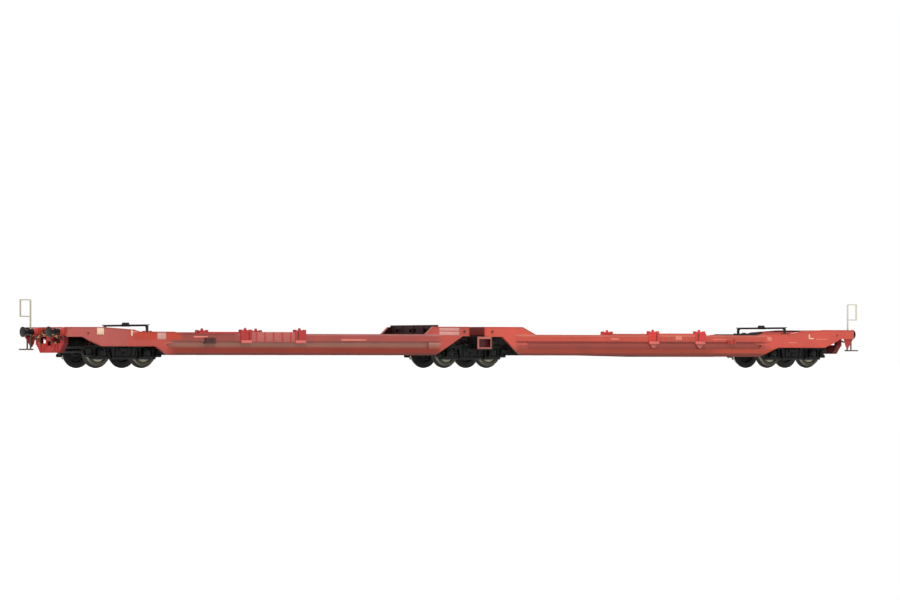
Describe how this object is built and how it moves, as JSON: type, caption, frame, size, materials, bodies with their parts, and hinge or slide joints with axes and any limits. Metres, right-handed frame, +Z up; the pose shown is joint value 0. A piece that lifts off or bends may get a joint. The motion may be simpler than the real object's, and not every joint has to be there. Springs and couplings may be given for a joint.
{
  "type": "articulated pocket wagon, 1:87 model",
  "caption": "Articulated pocket wagon model: low fish-bellied frames hinged over a shared bogie, with deep pockets, kingpin trestles, buffers and rolling wheelsets.",
  "frame": {"origin": "under the shared middle bogie's pivot, on the surface that the wheel flanges stand on", "axes": "+X along the wagon from unit a to unit b, +Y across it, +Z up"},
  "size_m": [0.393, 0.035, 0.027],
  "materials": {
    "red_zinc": "satin traffic red enamel on cast zinc",
    "red_plastic": "satin red moulded plastic",
    "bogie_black": "matt black moulded plastic",
    "black_plastic": "black moulded plastic",
    "ivory_plastic": "pale ivory moulded plastic",
    "trestle_black": "matt black paint",
    "wheel_steel": "turned steel with darkened faces"
  },
  "bodies": {
    "bogie_m": {"bogie_frame_m": "bogie_black", "axle_boxes_m": "bogie_black", "brake_gear_m": "bogie_black"},
    "unit_a": {"sill_right_a": "red_zinc", "sill_left_a": "red_zinc", "pocket_floor_a": "red_zinc", "inner_end_a": "red_zinc", "outer_end_a": "red_zinc", "headstock_a": "red_zinc", "buffers_a": "black_plastic", "coupling_box_a": "red_plastic", "grab_irons_a": "black_plastic", "handrail_a": "ivory_plastic", "step_a": "ivory_plastic", "carriers_a": "red_plastic", "brake_lever_a": "black_plastic", "trestle_a": "trestle_black", "stop_board_a": "trestle_black"},
    "unit_b": {"sill_right_b": "red_zinc", "sill_left_b": "red_zinc", "pocket_floor_b": "red_zinc", "inner_end_b": "red_zinc", "outer_end_b": "red_zinc", "headstock_b": "red_zinc", "buffers_b": "black_plastic", "coupling_box_b": "red_plastic", "grab_irons_b": "black_plastic", "handrail_b": "ivory_plastic", "step_b": "ivory_plastic", "carriers_b": "red_plastic", "brake_lever_b": "black_plastic", "trestle_b": "trestle_black", "side_bearers_b": "red_plastic"},
    "bogie_a": {"bogie_frame_a": "bogie_black", "axle_boxes_a": "bogie_black", "brake_gear_a": "bogie_black"},
    "bogie_b": {"bogie_frame_b": "bogie_black", "axle_boxes_b": "bogie_black", "brake_gear_b": "bogie_black"},
    "wheelset_a1": {"wheelset_a1": "wheel_steel"},
    "wheelset_a2": {"wheelset_a2": "wheel_steel"},
    "wheelset_m1": {"wheelset_m1": "wheel_steel"},
    "wheelset_m2": {"wheelset_m2": "wheel_steel"},
    "wheelset_b1": {"wheelset_b1": "wheel_steel"},
    "wheelset_b2": {"wheelset_b2": "wheel_steel"}
  },
  "joints": [
    {"name": "pivot_unit_a", "type": "hinge", "parent": "bogie_m", "child": "unit_a", "pos_m": [0, 0, 0.0102], "axis": [0, 0, 1], "range_deg": [-12, 12]},
    {"name": "pivot_unit_b", "type": "hinge", "parent": "bogie_m", "child": "unit_b", "pos_m": [0, 0, 0.0117], "axis": [0, 0, -1], "range_deg": [-12, 12]},
    {"name": "pivot_bogie_a", "type": "hinge", "parent": "unit_a", "child": "bogie_a", "pos_m": [-0.1632, 0, 0.0095], "axis": [0, 0, 1], "range_deg": [-12, 12]},
    {"name": "pivot_bogie_b", "type": "hinge", "parent": "unit_b", "child": "bogie_b", "pos_m": [0.1632, 0, 0.0095], "axis": [0, 0, -1], "range_deg": [-12, 12]},
    {"name": "roll_a1", "type": "hinge", "parent": "bogie_a", "child": "wheelset_a1", "pos_m": [-0.17355, 0, 0.0063], "axis": [0, 1, 0], "continuous": true},
    {"name": "roll_a2", "type": "hinge", "parent": "bogie_a", "child": "wheelset_a2", "pos_m": [-0.15285, 0, 0.0063], "axis": [0, 1, 0], "continuous": true},
    {"name": "roll_m1", "type": "hinge", "parent": "bogie_m", "child": "wheelset_m1", "pos_m": [-0.01035, 0, 0.0063], "axis": [0, 1, 0], "continuous": true},
    {"name": "roll_m2", "type": "hinge", "parent": "bogie_m", "child": "wheelset_m2", "pos_m": [0.01035, 0, 0.0063], "axis": [0, 1, 0], "continuous": true},
    {"name": "roll_b1", "type": "hinge", "parent": "bogie_b", "child": "wheelset_b1", "pos_m": [0.15285, 0, 0.0063], "axis": [0, 1, 0], "continuous": true},
    {"name": "roll_b2", "type": "hinge", "parent": "bogie_b", "child": "wheelset_b2", "pos_m": [0.17355, 0, 0.0063], "axis": [0, 1, 0], "continuous": true}
  ]
}
